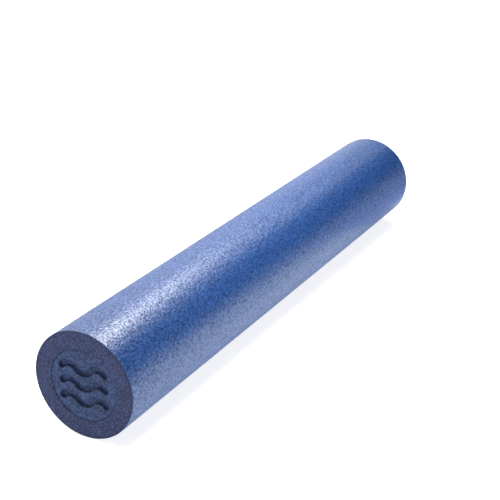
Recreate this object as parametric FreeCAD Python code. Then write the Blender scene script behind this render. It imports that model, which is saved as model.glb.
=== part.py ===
"""Full-length foam roller: a closed-cell foam log in a bonded skin, with a debossed disc in each end.

Frame: millimetres, +Z up, origin on the roller's axis at mid-length, +X along the axis.
The roller lies on its side, and the near end is the -X end.
The pieces are foam_core, outer_skin, near_end_disc and far_end_disc, all bonded; nothing moves.
"""

import os

import FreeCAD
import Part

# Driving dimensions
ROLLER_LENGTH = 914.0
ROLLER_DIAMETER = 152.0
SKIN_THICKNESS = 2.2
SKIN_EDGE_ROUND = 1.8  # outer corner of the skin at each end
DISC_DIAMETER = 100.0
DISC_THICKNESS = 8.0
DISC_EDGE_ROUND = 0.6
DISC_SETBACK = 1.1  # how far the disc's face lies below the end plane
POCKET_CLEARANCE = 0.3  # radial gap round the disc in its pocket
POCKET_LIP_ROUND = 1.6  # softened mouth of the pocket

# Wave emblem pressed into each disc: parallel waves made of equal arcs.
# A wave has an odd number of arcs, so the emblem is its own mirror image.
WAVE_COUNT = 3
WAVE_SPACING = 22.0
WAVE_STROKE = 10.0
WAVE_DEPTH = 5.5
WAVE_ARCS = 3  # half waves in one line
WAVE_HALF_LENGTH = 22.0  # chord of one half wave
WAVE_RISE = 5.0  # height of a half wave over its chord

SAME_PLACE = 1e-6  # two lengths closer than this are equal

# Worked out from the driving dimensions
OUTER_RADIUS = ROLLER_DIAMETER / 2
CORE_RADIUS = OUTER_RADIUS - SKIN_THICKNESS
HALF_LENGTH = ROLLER_LENGTH / 2
DISC_RADIUS = DISC_DIAMETER / 2
POCKET_RADIUS = DISC_RADIUS + POCKET_CLEARANCE
DISC_FACE = HALF_LENGTH - DISC_SETBACK
POCKET_FLOOR = DISC_FACE - DISC_THICKNESS
WAVE_RADIUS = ((WAVE_HALF_LENGTH / 2) ** 2 + WAVE_RISE**2) / (2 * WAVE_RISE)

AXIS = FreeCAD.Vector(1, 0, 0)
CENTRE = FreeCAD.Vector(0, 0, 0)


def rod(radius, start, end):
    """Solid cylinder on the roller's axis, from start to end along X."""
    return Part.makeCylinder(radius, end - start, FreeCAD.Vector(start, 0, 0), AXIS)


def circles_at(shape, radius, planes):
    """The round edges of a shape with this radius that lie on any of the planes X = planes."""
    return [
        edge
        for edge in shape.Edges
        if isinstance(edge.Curve, Part.Circle)
        and abs(edge.Curve.Radius - radius) < SAME_PLACE
        and any(abs(edge.Curve.Center.x - x) < SAME_PLACE for x in planes)
    ]


def both_ends(shape_at_far_end):
    """A shape made for the +X end and its half-turned twin at the -X end."""
    twin = shape_at_far_end.copy()
    twin.rotate(CENTRE, FreeCAD.Vector(0, 0, 1), 180)
    return shape_at_far_end, twin


def foam_core():
    """Solid log with a shallow pocket in each end for the disc, its mouth softened."""
    log = rod(CORE_RADIUS, -HALF_LENGTH, HALF_LENGTH)
    pockets = both_ends(rod(POCKET_RADIUS, POCKET_FLOOR, HALF_LENGTH))
    log = log.cut(pockets[0]).cut(pockets[1])
    mouths = circles_at(log, POCKET_RADIUS, (-HALF_LENGTH, HALF_LENGTH))
    return log.makeFillet(POCKET_LIP_ROUND, mouths)


def outer_skin():
    """Sleeve bonded round the log, flush with its ends, with rounded outer corners."""
    sleeve = rod(OUTER_RADIUS, -HALF_LENGTH, HALF_LENGTH)
    sleeve = sleeve.cut(rod(CORE_RADIUS, -HALF_LENGTH, HALF_LENGTH))
    corners = circles_at(sleeve, OUTER_RADIUS, (-HALF_LENGTH, HALF_LENGTH))
    return sleeve.makeFillet(SKIN_EDGE_ROUND, corners)


def wave_cutter(height):
    """One wave at this height on the +X disc's face: arcs up and down by turns, with round stroke ends."""
    inner = WAVE_RADIUS - WAVE_STROKE / 2
    outer = WAVE_RADIUS + WAVE_STROKE / 2
    floor = DISC_FACE - WAVE_DEPTH
    start = -WAVE_HALF_LENGTH * WAVE_ARCS / 2
    pieces = []
    for index in range(WAVE_ARCS):
        middle = start + WAVE_HALF_LENGTH * (index + 0.5)
        up = 1 if index % 2 == 0 else -1
        centre = FreeCAD.Vector(floor, middle, height - up * (WAVE_RADIUS - WAVE_RISE))
        band = Part.makeCylinder(outer, WAVE_DEPTH, centre, AXIS)
        band = band.cut(Part.makeCylinder(inner, WAVE_DEPTH, centre, AXIS))
        pieces.append(band.common(wave_wedge(centre, up)))
    for y in (start, -start):
        pieces.append(Part.makeCylinder(WAVE_STROKE / 2, WAVE_DEPTH, FreeCAD.Vector(floor, y, height), AXIS))
    return pieces[0].fuse(pieces[1:]).removeSplitter()


def wave_wedge(centre, up):
    """Prism that keeps only the stretch of a ring within one arc's angle, seen from the ring's centre."""
    reach = 2.0  # how far the wedge's far corners lie past the chord's ends, as a multiple
    half_chord = WAVE_HALF_LENGTH / 2 * reach
    drop = (WAVE_RADIUS - WAVE_RISE) * reach * up
    corners = [
        centre,
        centre + FreeCAD.Vector(0, half_chord, drop),
        centre + FreeCAD.Vector(0, 0, drop * reach),
        centre + FreeCAD.Vector(0, -half_chord, drop),
        centre,
    ]
    return Part.Face(Part.makePolygon(corners)).extrude(AXIS * WAVE_DEPTH)


def end_disc():
    """Disc for the +X end, with a rounded rim and the wave emblem pressed into its face."""
    disc = rod(DISC_RADIUS, POCKET_FLOOR, DISC_FACE)
    disc = disc.makeFillet(DISC_EDGE_ROUND, circles_at(disc, DISC_RADIUS, (DISC_FACE,)))
    for row in range(WAVE_COUNT):
        disc = disc.cut(wave_cutter((row - (WAVE_COUNT - 1) / 2) * WAVE_SPACING))
    return disc


def main():
    far_disc, near_disc = both_ends(end_disc())
    parts = {
        "foam_core": foam_core(),
        "outer_skin": outer_skin(),
        "near_end_disc": near_disc,
        "far_end_disc": far_disc,
    }
    os.makedirs("parts", exist_ok=True)
    for name, shape in parts.items():
        if not shape.isValid() or len(shape.Solids) != 1:
            raise RuntimeError(f"{name} is not one valid solid")
        shape.exportStep(f"parts/{name}.step")


main()
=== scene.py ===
"""Looks of a full-length foam roller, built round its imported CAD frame.

Metres, +X along the roller's axis, +Z up. The skin and the core are turned from profiles and carry real
pebbles and turned rings. The end discs take their shape from the frame's own discs, softened like pressed
foam. Every material is made of procedural nodes.
"""

import math

import bmesh
import bpy
import numpy as np
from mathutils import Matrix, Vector, noise


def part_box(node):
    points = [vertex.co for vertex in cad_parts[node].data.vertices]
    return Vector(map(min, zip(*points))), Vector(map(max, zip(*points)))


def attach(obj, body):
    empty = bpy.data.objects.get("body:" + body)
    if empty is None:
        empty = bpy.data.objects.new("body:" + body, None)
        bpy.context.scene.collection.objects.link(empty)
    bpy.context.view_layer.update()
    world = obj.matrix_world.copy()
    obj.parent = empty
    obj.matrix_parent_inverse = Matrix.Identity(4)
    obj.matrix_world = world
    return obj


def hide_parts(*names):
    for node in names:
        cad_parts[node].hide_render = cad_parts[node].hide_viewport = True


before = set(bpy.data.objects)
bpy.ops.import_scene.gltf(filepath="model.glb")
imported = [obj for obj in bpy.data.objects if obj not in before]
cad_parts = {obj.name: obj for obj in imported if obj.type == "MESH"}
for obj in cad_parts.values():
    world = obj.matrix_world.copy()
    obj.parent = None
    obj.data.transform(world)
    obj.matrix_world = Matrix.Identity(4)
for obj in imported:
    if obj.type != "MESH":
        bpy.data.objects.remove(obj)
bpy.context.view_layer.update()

MM = 0.001
BODY = "root"
SAME_POINT = 0.001 * MM  # points closer than this are joined

# Sizes worked out from the frame
OUTER_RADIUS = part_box("outer_skin")[1].z
HALF_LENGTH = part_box("outer_skin")[1].x
CORE_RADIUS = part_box("foam_core")[1].z
DISC_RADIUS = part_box("far_end_disc")[1].z
POCKET_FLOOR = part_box("far_end_disc")[0].x
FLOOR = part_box("outer_skin")[0].z
NEAR_END = Vector((-HALF_LENGTH, 0, 0))

# Skin
EDGE_ROUND = 1.8 * MM
SKIN_STEP = 1.05 * MM  # spacing of the mesh's points
PEBBLE_SIZE = 2.7 * MM
PEBBLE_HEIGHT = 0.6 * MM
PEBBLE_VARIATION = 0.25  # share by which the pebbles are lower in some patches and higher in others
PATCH_SIZE = 4 * PEBBLE_SIZE
# the crown also sets the skin's painted shade in the grooves between pebbles
CROWN = "crown"  # name of the skin's own record of how high each point lies on its pebble
EDGE_FADE = 2.5 * MM  # the pebbles and the swell flatten out over this distance from an end
SWELL_SIZE = 70 * MM  # broad unevenness of the moulding
SWELL_HEIGHT = 0.25 * MM
RAGGED_SIZE = 9 * MM  # unevenness of the cut edge
RAGGED_HEIGHT = 0.3 * MM
RAGGED_REACH = 3 * EDGE_ROUND
CUT_START = 2.2 * MM  # the skin turns foam-coloured between these two distances from an end
CUT_FULL = 1.0 * MM

# Core's end rings
RING_STEP = 0.6 * MM
RING_SEGMENTS = 512
LIP_ROUND = 1.6 * MM
POCKET_GAP = 0.3 * MM
SEAM_BEVEL = 0.3 * MM
SEAM_SUPPORT = 1.0 * MM  # a row of points this far behind a seam keeps its shading crisp
TURNED_PITCH = 4.2 * MM
TURNED_DEPTH = 0.08 * MM
TURNED_WANDER = 40 * MM  # the turned rings drift in and out over this distance
CUT_GRAIN_SIZE = 3.2 * MM
CUT_GRAIN_HEIGHT = 0.14 * MM

# End discs
DISC_VOXEL = 0.5 * MM
DISC_SMOOTHING = 1
RIM_WIDTH = 1.0 * MM
DISC_SWELL = 0.28 * MM  # foam springs back this far into the gap round it
PRESSED_GRAIN_SIZE = 2.6 * MM
PRESSED_GRAIN_HEIGHT = 0.10 * MM

# Colours, linear
BLUE = (0.0105, 0.045, 0.158)
SLATE_VIOLET = (0.031, 0.038, 0.088)
SLATE_BLUE = (0.027, 0.041, 0.093)
WHITE = (1.0, 1.0, 1.0)
MID_GREY = (0.5, 0.5, 0.5)
BLUISH_GREY = (0.53, 0.62, 0.76)
BLUISH_WHITE = (0.84, 0.93, 1.0)
PALE_BLUE = (0.42, 0.55, 0.95)

# Finishes
CUT_ROUGHNESS = 0.8
FOAM_ROUGHNESS = 0.75
FOAM_GLOSS = 0.25
STUDIO_ROUGHNESS = 0.9

# Studio
GLOW_FOCUS = 10  # the higher, the narrower the studio's glows
FLOOR_REACH = 40.0  # from the middle to each edge
FLOOR_GLOW = 0.8
CARD_START = (0.35, -0.6)
CARD_END = (1.3, -0.09)
CARD_LIFT = 0.5 * MM  # keeps the card clear of the floor

# Camera
FOCAL_LENGTH = 83.4  # millimetres, on Blender's usual 36 mm wide sensor
CAMERA_FROM_NEAR_END = Vector((-1.026, -0.803, 0.727))
CAMERA_HEADING = 61.3  # degrees from +Y towards +X
CAMERA_DOWN = 22.8  # degrees below the horizon

# Sockets of the mix node that carry the share and the colours
MIX_SHARE = 0
MIX_FIRST = 6
MIX_SECOND = 7
MIX_RESULT = 2


# ---------- materials ----------


class Nodes:
    """Short ways to add and join the nodes of one node tree."""

    def __init__(self, tree):
        self.tree = tree

    def add(self, kind, settings=None, inputs=None):
        """A node of this kind; an input that is another node's output is joined, any other is set."""
        node = self.tree.nodes.new(kind)
        for name, value in (settings or {}).items():
            setattr(node, name, value)
        for name, value in (inputs or {}).items():
            self.feed(node, name, value)
        return node

    def feed(self, node, name, value):
        """Joins an input to another node's output, or sets it. A colour is given without its alpha."""
        socket = node.inputs[name]
        if isinstance(value, bpy.types.NodeSocket):
            self.tree.links.new(value, socket)
        elif socket.type == "RGBA":
            socket.default_value = (*value, 1.0)
        else:
            socket.default_value = value

    def math(self, operation, first, second=0.0):
        return self.add("ShaderNodeMath", {"operation": operation}, {0: first, 1: second}).outputs[0]


class Shader(Nodes):
    """A procedural material. Its lengths are in millimetres."""

    def __init__(self, name):
        self.material = bpy.data.materials.new(name)
        self.material.use_nodes = True
        super().__init__(self.material.node_tree)
        self.surface = self.tree.nodes["Principled BSDF"]
        place = self.add("ShaderNodeTexCoord").outputs["Object"]
        scaling = {0: place, "Scale": 1 / MM}
        self.place = self.add("ShaderNodeVectorMath", {"operation": "SCALE"}, scaling).outputs[0]

    def noise(self, size, detail):
        """Soft noise from 0 to 1 with features of this size."""
        inputs = {"Vector": self.place, "Scale": 1 / size, "Detail": detail}
        return self.add("ShaderNodeTexNoise", None, inputs).outputs[0]

    def cells(self, size):
        """Distance to the nearest of scattered points, as a share of this spacing between them."""
        inputs = {"Vector": self.place, "Scale": 1 / size}
        return self.add("ShaderNodeTexVoronoi", None, inputs).outputs[0]

    def from_middle(self):
        """Distance from the roller's mid-length, measured along it."""
        parts = self.add("ShaderNodeSeparateXYZ", None, {0: self.place}).outputs
        return self.math("ABSOLUTE", parts["X"])

    def spread(self, value, low, high, to_low=0.0, to_high=1.0):
        """Value carried from one range to another, and held inside it."""
        inputs = {"Value": value, "From Min": low, "From Max": high, "To Min": to_low, "To Max": to_high}
        return self.add("ShaderNodeMapRange", {"clamp": True}, inputs).outputs[0]

    def mix(self, share, first, second):
        """Blend of two colours."""
        inputs = {MIX_SHARE: share, MIX_FIRST: first, MIX_SECOND: second}
        return self.add("ShaderNodeMix", {"data_type": "RGBA"}, inputs).outputs[MIX_RESULT]

    def stain(self, colour, other, pattern, start, full, share):
        """Colour blended towards another: not at all at the pattern's start, and by this share at full."""
        return self.mix(self.spread(pattern, start, full, 0.0, share), colour, other)

    def bump(self, height, depth, under=None):
        """Surface normal of relief this deep, over an earlier normal if there is one."""
        inputs = {"Height": height, "Distance": depth * MM}
        if under is not None:
            inputs["Normal"] = under
        return self.add("ShaderNodeBump", None, inputs).outputs[0]

    def finish(self, colour, roughness, gloss, normal):
        self.feed(self.surface, "Base Color", colour)
        self.feed(self.surface, "Roughness", roughness)
        self.feed(self.surface, "Specular IOR Level", gloss)
        self.feed(self.surface, "Normal", normal)
        return self.material


def tint(colour, factor):
    return tuple(channel * factor for channel in colour)


def skin_material():
    """Moulded blue foam skin: satin, finely grained, speckled in colour and gloss, with painted shade in the
    grooves between pebbles, and foam-coloured and matt at its cut ends."""
    shader = Shader("blue_skin")
    cloud = shader.noise(size=35, detail=3)
    speckle = shader.noise(size=3.4, detail=1)
    grain = shader.noise(size=1.5, detail=3)
    fine = shader.cells(size=1.7)
    blue = shader.mix(shader.spread(cloud, 0.3, 0.7), tint(BLUE, 0.92), tint(BLUE, 1.08))
    blue = shader.stain(blue, tint(BLUE, 0.4), speckle, start=0.5, full=0.36, share=0.8)
    blue = shader.stain(blue, tint(BLUE, 1.6), speckle, start=0.5, full=0.62, share=0.8)
    crown = shader.add("ShaderNodeAttribute", {"attribute_name": CROWN}).outputs["Fac"]
    # painted shade: darker in the grooves between pebbles, where the crown is low
    blue = shader.stain(blue, tint(BLUE, 0.4), crown, start=0.6, full=0.1, share=0.6)
    blue = shader.stain(blue, tint(BLUE, 1.5), grain, start=0.35, full=0.75, share=0.5)
    cut = shader.spread(shader.from_middle(), (HALF_LENGTH - CUT_START) / MM, (HALF_LENGTH - CUT_FULL) / MM)
    colour = shader.mix(cut, blue, tint(SLATE_VIOLET, 0.9))
    satin = shader.spread(grain, 0.3, 0.7, to_low=0.34, to_high=0.47)
    roughness = shader.math("MAXIMUM", satin, shader.math("MULTIPLY", cut, CUT_ROUGHNESS))
    sheen = shader.spread(speckle, 0.38, 0.62, to_low=0.4, to_high=1.1)
    gloss = shader.spread(cut, 0.0, 1.0, to_low=sheen, to_high=FOAM_GLOSS)
    relief = shader.bump(fine, depth=0.10)
    relief = shader.bump(grain, depth=0.08, under=relief)
    return shader.finish(colour, roughness, gloss, relief)


def foam_material(name, base, turned):
    """Closed-cell foam: mottled, speckled with open pores that carry painted shade, and marked with faint
    rings if it was turned, with painted shade in their grooves.
    """
    shader = Shader(name)
    cloud = shader.noise(size=14, detail=2)
    mottle = shader.noise(size=3.2, detail=2)
    grain = shader.noise(size=1.4, detail=3)
    pores = shader.cells(size=2.8)
    colour = shader.mix(shader.spread(cloud, 0.35, 0.65), tint(base, 0.8), tint(base, 1.25))
    colour = shader.stain(colour, tint(base, 1.75), mottle, start=0.5, full=0.62, share=0.7)
    colour = shader.stain(colour, tint(base, 0.5), mottle, start=0.5, full=0.38, share=0.7)
    # painted shade: the pores are pits in the relief below, and their colour is darkened as shade in them
    colour = shader.stain(colour, tint(base, 0.3), pores, start=0.3, full=0.06, share=0.6)
    relief = shader.bump(shader.spread(pores, 0.0, 0.4), depth=0.22)
    relief = shader.bump(grain, depth=0.14, under=relief)
    if turned:
        rings = turned_rings(shader)
        # painted shade: darker in the rings' grooves, where the relief below is low
        colour = shader.stain(colour, tint(base, 0.4), rings, start=1.0, full=0.0, share=0.35)
        relief = shader.bump(rings, depth=0.05, under=relief)
    return shader.finish(colour, FOAM_ROUGHNESS, FOAM_GLOSS, relief)


def turned_rings(shader):
    """Wavering rings round the roller's axis, from 0 to 1."""
    inputs = {
        "Vector": shader.place,
        "Scale": math.pi / 10 * MM / TURNED_PITCH,  # the node's rings are pi / 10 apart at a scale of 1
        "Distortion": 1.5,
        "Detail": 2.0,
        "Detail Scale": 0.4,
    }
    kind = {"wave_type": "RINGS", "rings_direction": "X"}
    return shader.add("ShaderNodeTexWave", kind, inputs).outputs["Fac"]


# ---------- meshes ----------


def new_object(name, data):
    """Object of this mesh, light or camera, linked into the scene."""
    thing = bpy.data.objects.new(name, data)
    bpy.context.scene.collection.objects.link(thing)
    return thing


def new_piece(name, mesh, material, replaced):
    """Links a mesh as a piece of the roller that stands for a CAD node, gives it this material and hides the
    node.
    """
    piece = new_object(name, mesh)
    mesh.materials.clear()
    mesh.materials.append(material)
    mesh.shade_smooth()
    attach(piece, BODY)
    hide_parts(replaced)


def turned_points(profile, segments):
    """Points of a profile of (x, radius) turned about the X axis, a row for each point of the profile."""
    angles = np.arange(segments) * (2 * math.pi / segments)
    x, radius = np.array(profile).T[:, :, None]
    return np.stack(np.broadcast_arrays(x, radius * np.cos(angles), radius * np.sin(angles)), axis=-1)


def turned_mesh(name, points, closed):
    """Mesh of a turned grid of points. Closed joins the last row to the first. Otherwise each is a pole."""
    rows, segments = points.shape[:2]
    row = np.arange(rows if closed else rows - 1)[:, None]
    column = np.arange(segments)
    after = (row + 1) % rows
    beside = (column + 1) % segments
    corners = [r * segments + c for r, c in ((row, column), (row, beside), (after, beside), (after, column))]
    faces = np.stack(corners, axis=-1).reshape(-1, 4)
    mesh = bpy.data.meshes.new(name)
    mesh.from_pydata(points.reshape(-1, 3).tolist(), [], faces.tolist())
    work = bmesh.new()
    work.from_mesh(mesh)
    if not closed:
        bmesh.ops.remove_doubles(work, verts=work.verts, dist=SAME_POINT)
    bmesh.ops.recalc_face_normals(work, faces=work.faces)
    work.to_mesh(mesh)
    work.free()
    return mesh


def arc(centre, radius, start, end, steps):
    """Points of an arc in the (x, radius) plane, from one angle to another in degrees."""
    angles = np.radians(np.linspace(start, end, steps + 1))
    return [(centre[0] + radius * math.cos(a), centre[1] + radius * math.sin(a)) for a in angles]


def mirrored(profile):
    """The same profile at the other end, walked the other way."""
    return [(-x, radius) for x, radius in reversed(profile)]


def soft(place, size):
    """Soft noise from 0 to 1 with features of this size."""
    return 0.5 + 0.5 * noise.noise(place / size)


def pebble(place):
    """0 in the groove between two pebbles, rising in a dome to 1 on a pebble's crown."""
    nearest = noise.voronoi(place / PEBBLE_SIZE)[0]
    return 1 - (nearest[0] / nearest[1]) ** 2


def skin_mesh():
    """Closed sleeve whose outer wall carries the pebbles."""
    straight = HALF_LENGTH - EDGE_ROUND
    steps = round(2 * straight / SKIN_STEP)
    far_end = arc((straight, OUTER_RADIUS - EDGE_ROUND), EDGE_ROUND, start=90, end=0, steps=5)
    outside = mirrored(far_end)
    outside += [(x, OUTER_RADIUS) for x in np.linspace(-straight, straight, steps + 1)[1:-1]]
    outside += far_end
    seam = HALF_LENGTH - SEAM_BEVEL
    inside = [
        (HALF_LENGTH, CORE_RADIUS + SEAM_BEVEL),
        (seam, CORE_RADIUS),
        (seam - SEAM_SUPPORT, CORE_RADIUS),
    ]
    segments = round(2 * math.pi * OUTER_RADIUS / SKIN_STEP)
    points = turned_points(outside + inside + mirrored(inside), segments)
    crowns = np.ones(points.shape[0] * points.shape[1])
    for index, point in enumerate(points[: len(outside)].reshape(-1, 3)):
        place = Vector(point)
        inset = HALF_LENGTH - abs(place.x)
        wall = min(1.0, inset / EDGE_FADE)
        edge = max(0.0, 1 - inset / RAGGED_REACH)
        crowns[index] = pebble(place)
        height = PEBBLE_HEIGHT * (1 - PEBBLE_VARIATION + 2 * PEBBLE_VARIATION * soft(place, PATCH_SIZE))
        sunk = wall * (height * (1 - crowns[index]) + SWELL_HEIGHT * soft(place, SWELL_SIZE))
        sunk += edge * RAGGED_HEIGHT * soft(place, RAGGED_SIZE)
        point[1:] *= 1 - sunk / OUTER_RADIUS
    mesh = turned_mesh("outer_skin", points, closed=True)
    mesh.attributes.new(CROWN, "FLOAT", "POINT").data.foreach_set("value", crowns)
    return mesh


def core_mesh():
    """Solid log with a pocket in each end and a turned ring round each pocket."""
    pocket = DISC_RADIUS + POCKET_GAP
    ring_start = pocket + LIP_ROUND
    ring_end = CORE_RADIUS - SEAM_BEVEL
    steps = round((ring_end - ring_start) / RING_STEP)
    far_end = [(POCKET_FLOOR, 0), (POCKET_FLOOR, pocket)]
    far_end += arc((HALF_LENGTH - LIP_ROUND, ring_start), LIP_ROUND, start=-90, end=0, steps=4)
    far_end += [(HALF_LENGTH, radius) for radius in np.linspace(ring_start, ring_end, steps + 1)[1:]]
    seam = HALF_LENGTH - SEAM_BEVEL
    far_end += [(seam, CORE_RADIUS), (seam - SEAM_SUPPORT, CORE_RADIUS)]
    points = turned_points(far_end + mirrored(far_end), RING_SEGMENTS)
    for point in points.reshape(-1, 3):
        place = Vector(point)
        on_ring = abs(place.x) > HALF_LENGTH - LIP_ROUND
        if on_ring:
            turn = place.yz.length / TURNED_PITCH + soft(place, TURNED_WANDER)
            sunk = TURNED_DEPTH * (0.5 + 0.5 * math.sin(2 * math.pi * turn))
            sunk += CUT_GRAIN_HEIGHT * soft(place, CUT_GRAIN_SIZE)
            point[0] *= 1 - sunk / HALF_LENGTH
    return turned_mesh("foam_core", points, closed=False)


def disc_mesh(node):
    """The frame's own disc, remeshed evenly, softened like pressed foam and given a fine grain."""
    source = new_object(node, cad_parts[node].data.copy())
    work = bmesh.new()
    work.from_mesh(source.data)
    bmesh.ops.remove_doubles(work, verts=work.verts, dist=SAME_POINT)
    work.to_mesh(source.data)
    work.free()
    remesh = source.modifiers.new("even", "REMESH")
    remesh.mode = "VOXEL"
    remesh.voxel_size = DISC_VOXEL
    smooth = source.modifiers.new("soft", "SMOOTH")
    smooth.factor = 0.5
    smooth.iterations = DISC_SMOOTHING
    mesh = bpy.data.meshes.new_from_object(source.evaluated_get(bpy.context.evaluated_depsgraph_get()))
    bpy.data.objects.remove(source)
    normals = [vertex.normal.copy() for vertex in mesh.vertices]
    for vertex, normal in zip(mesh.vertices, normals, strict=True):
        vertex.co -= normal * PRESSED_GRAIN_HEIGHT * soft(vertex.co, PRESSED_GRAIN_SIZE)
        radius = vertex.co.yz.length
        if radius > DISC_RADIUS - RIM_WIDTH:
            swollen = 1 + DISC_SWELL / radius
            vertex.co.y *= swollen
            vertex.co.z *= swollen
    return mesh


def build_roller():
    disc_material = foam_material("pressed_foam", SLATE_BLUE, turned=False)
    core_material = foam_material("turned_foam", SLATE_VIOLET, turned=True)
    new_piece("pebbled_skin", skin_mesh(), skin_material(), "outer_skin")
    new_piece("turned_core", core_mesh(), core_material, "foam_core")
    for end in ("near", "far"):
        node = f"{end}_end_disc"
        new_piece(f"{end}_pressed_disc", disc_mesh(node), disc_material, node)


# ---------- studio ----------


def level_sheet(name, start, end, height, material):
    """Level rectangle between two opposite corners, for the studio; it is not attached to the roller."""
    corners = [(start[0], start[1]), (end[0], start[1]), (end[0], end[1]), (start[0], end[1])]
    mesh = bpy.data.meshes.new(name)
    mesh.from_pydata([(x, y, height) for x, y in corners], [], [(0, 1, 2, 3)])
    mesh.materials.append(material)
    sheet = new_object(name, mesh)
    return sheet


def floor():
    """Wide, softly glowing floor: plain white to the camera, and faintly blue in its light on the roller."""
    shader = Shader("floor")
    seen = shader.add("ShaderNodeLightPath").outputs["Is Camera Ray"]
    shader.feed(shader.surface, "Base Color", shader.mix(seen, BLUISH_GREY, MID_GREY))
    shader.feed(shader.surface, "Roughness", STUDIO_ROUGHNESS)
    shader.feed(shader.surface, "Emission Color", shader.mix(seen, BLUISH_WHITE, WHITE))
    shader.feed(shader.surface, "Emission Strength", FLOOR_GLOW)
    level_sheet("floor", (-FLOOR_REACH, -FLOOR_REACH), (FLOOR_REACH, FLOOR_REACH), FLOOR, shader.material)


def blue_card():
    """Card on the floor beside the far end. It dims and tints the floor's light there. The camera does not
    see it, and it casts no shadow."""
    shader = Shader("blue_card")
    shader.feed(shader.surface, "Base Color", PALE_BLUE)
    shader.feed(shader.surface, "Roughness", STUDIO_ROUGHNESS)
    card = level_sheet("blue_card", CARD_START, CARD_END, FLOOR + CARD_LIFT, shader.material)
    card.visible_camera = False
    card.visible_shadow = False


def softbox(name, place, tilt, turn, size, radiance):
    """Softbox of this length and width that stays out of the picture. It faces down, is tilted this many
    degrees about its length, and then turned from the X axis."""
    length, width = size
    light = bpy.data.lights.new(name, "AREA")
    light.shape = "RECTANGLE"
    light.size = length
    light.size_y = width
    light.energy = radiance * math.pi * length * width
    lamp = new_object(name, light)
    lamp.location = place
    lamp.rotation_euler = (math.radians(tilt), 0, math.radians(turn))
    lamp.visible_camera = False


def towards(heading, height):
    """Direction at this many degrees from +Y towards +X, and this many above the horizon."""
    turn = math.radians(heading)
    rise = math.radians(height)
    return (math.cos(rise) * math.sin(turn), math.cos(rise) * math.cos(turn), math.sin(rise))


def surroundings(*glows):
    """Dark studio with soft glows, each a (heading, height, brightness). The camera sees plain white."""
    world = bpy.data.worlds.new("studio")
    bpy.context.scene.world = world
    world.use_nodes = True
    nodes = Nodes(world.node_tree)
    direction = nodes.add("ShaderNodeTexCoord").outputs["Generated"]
    level = nodes.add("ShaderNodeLightPath").outputs["Is Camera Ray"]
    for heading, height, brightness in glows:
        vectors = {0: direction, 1: towards(heading, height)}
        facing = nodes.add("ShaderNodeVectorMath", {"operation": "DOT_PRODUCT"}, vectors).outputs["Value"]
        glow = nodes.math("POWER", nodes.math("MAXIMUM", facing), GLOW_FOCUS)
        level = nodes.math("ADD", level, nodes.math("MULTIPLY", glow, brightness))
    background = world.node_tree.nodes["Background"]
    nodes.feed(background, "Color", WHITE)
    nodes.feed(background, "Strength", level)


def camera():
    """Long lens in front of the near end, above it and to its right, level from side to side."""
    lens = bpy.data.cameras.new("camera")
    lens.lens = FOCAL_LENGTH
    eye = new_object("camera", lens)
    eye.location = NEAR_END + CAMERA_FROM_NEAR_END
    eye.rotation_euler = (math.radians(90 - CAMERA_DOWN), 0, math.radians(-CAMERA_HEADING))
    bpy.context.scene.camera = eye


def build_studio():
    """Floor, glows, softboxes and camera. Each glow is a heading, a height and a brightness."""
    floor()
    ceiling = (0, 72, 3.1)
    behind_camera = (240, 8, 3.4)
    left = (315, 8, 1.1)
    beyond = (45, 8, 1.05)
    above_beyond = (45, 42, 1.8)
    across = (0, 35, 2.7)
    surroundings(ceiling, behind_camera, left, beyond, above_beyond, across)
    softbox("near_strip", place=(-0.01, -0.055, 0.72), tilt=0, turn=25, size=(0.9, 0.21), radiance=19.5)
    softbox("far_strip", place=(0.95, -0.05, 0.72), tilt=0, turn=0, size=(0.6, 0.25), radiance=3.0)
    softbox("beyond_panel", place=(1.5, 0.62, 0.2), tilt=-90, turn=-58, size=(0.5, 0.5), radiance=0.9)
    blue_card()
    camera()
    bpy.context.scene.view_settings.view_transform = "Standard"


build_roller()
build_studio()
